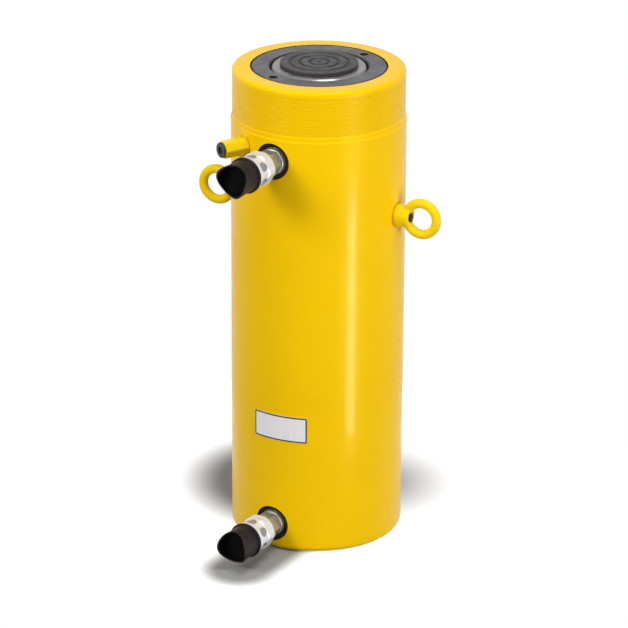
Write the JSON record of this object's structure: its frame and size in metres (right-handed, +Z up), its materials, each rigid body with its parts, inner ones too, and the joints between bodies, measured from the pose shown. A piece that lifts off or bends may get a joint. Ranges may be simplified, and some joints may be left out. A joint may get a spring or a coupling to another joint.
{
  "type": "hydraulic cylinder",
  "caption": "Tall double acting hydraulic cylinder with threaded collar, grooved saddle, lifting eyes and capped hose couplers.",
  "frame": {"origin": "centre of the base, on the cylinder's axis, at the face it stands on", "axes": "+Z up along the plunger's stroke; the two couplers point to -Y and a little to -X"},
  "size_m": [0.2812, 0.2738, 0.5755],
  "materials": {
    "yellow_paint": "glossy enamel",
    "black_steel": "black oxide steel, satin",
    "hard_chrome": "ground and hard chromed",
    "bright_steel": "bright plated",
    "zinc_plate": "yellow passivated zinc",
    "cast_iron": "turned",
    "bronze": "turned bearing bronze",
    "rubber": "nitrile",
    "urethane": "polyurethane",
    "pale_polymer": "filled PTFE or acetal",
    "black_plastic": "moulded",
    "satin_aluminium": "satin, blank"
  },
  "bodies": {
    "cylinder": {"cylinder_body": "yellow_paint", "stop_ring": "black_steel", "rod_wiper": "urethane", "gland_bearing": "bronze", "rod_seal": "urethane", "rod_backup_ring": "pale_polymer", "rod_guide_band": "pale_polymer", "gland_o_ring": "rubber", "gland_backup_ring": "pale_polymer", "advance_adapter": "zinc_plate", "advance_coupler_body": "bright_steel", "advance_valve_seat": "bronze", "retract_adapter": "zinc_plate", "retract_coupler_body": "bright_steel", "retract_valve_seat": "bronze", "relief_valve_body": "yellow_paint", "relief_adjusting_screw": "black_steel", "lifting_eye_left": "yellow_paint", "lifting_eye_right": "yellow_paint", "eye_stud_left": "black_steel", "eye_stud_right": "black_steel", "rating_plate": "satin_aluminium"},
    "plunger": {"plunger": "hard_chrome", "piston": "cast_iron", "piston_o_ring": "rubber", "advance_seal": "urethane", "advance_backup_ring": "pale_polymer", "retract_seal": "urethane", "retract_backup_ring": "pale_polymer", "piston_guide_band": "bronze", "piston_nut": "black_steel", "stop_tube": "cast_iron"},
    "saddle": {"saddle": "black_steel", "saddle_o_ring": "rubber"},
    "advance_cap": {"advance_dust_cap": "black_plastic"},
    "retract_cap": {"retract_dust_cap": "black_plastic"},
    "advance_valve": {"advance_poppet": "bright_steel", "advance_poppet_spring": "bright_steel"},
    "retract_valve": {"retract_poppet": "bright_steel", "retract_poppet_spring": "bright_steel"},
    "relief_valve": {"relief_ball": "bright_steel", "relief_spring": "bright_steel"}
  },
  "joints": [
    {"name": "plunger_slide", "type": "slide", "parent": "cylinder", "child": "plunger", "axis": [0, 0, 1], "range_m": [0, 0.333]},
    {"name": "saddle_turn", "type": "hinge", "parent": "plunger", "child": "saddle", "pos_m": [0, 0, 0.571], "axis": [0, 0, 1], "continuous": true},
    {"name": "advance_cap_slide", "type": "slide", "parent": "cylinder", "child": "advance_cap", "axis": [-0.524, -0.8517, 0], "range_m": [0, 0.022]},
    {"name": "retract_cap_slide", "type": "slide", "parent": "cylinder", "child": "retract_cap", "axis": [-0.524, -0.8517, 0], "range_m": [0, 0.022]},
    {"name": "advance_poppet_slide", "type": "slide", "parent": "cylinder", "child": "advance_valve", "axis": [0.524, 0.8517, 0], "range_m": [0, 0.005], "stiffness_N_per_m": 900, "springref_m": -0.004},
    {"name": "retract_poppet_slide", "type": "slide", "parent": "cylinder", "child": "retract_valve", "axis": [0.524, 0.8517, 0], "range_m": [0, 0.005], "stiffness_N_per_m": 900, "springref_m": -0.004},
    {"name": "relief_ball_lift", "type": "slide", "parent": "cylinder", "child": "relief_valve", "axis": [-0.8339, -0.5519, 0], "range_m": [0, 0.0015], "stiffness_N_per_m": 4000, "springref_m": -0.002}
  ]
}
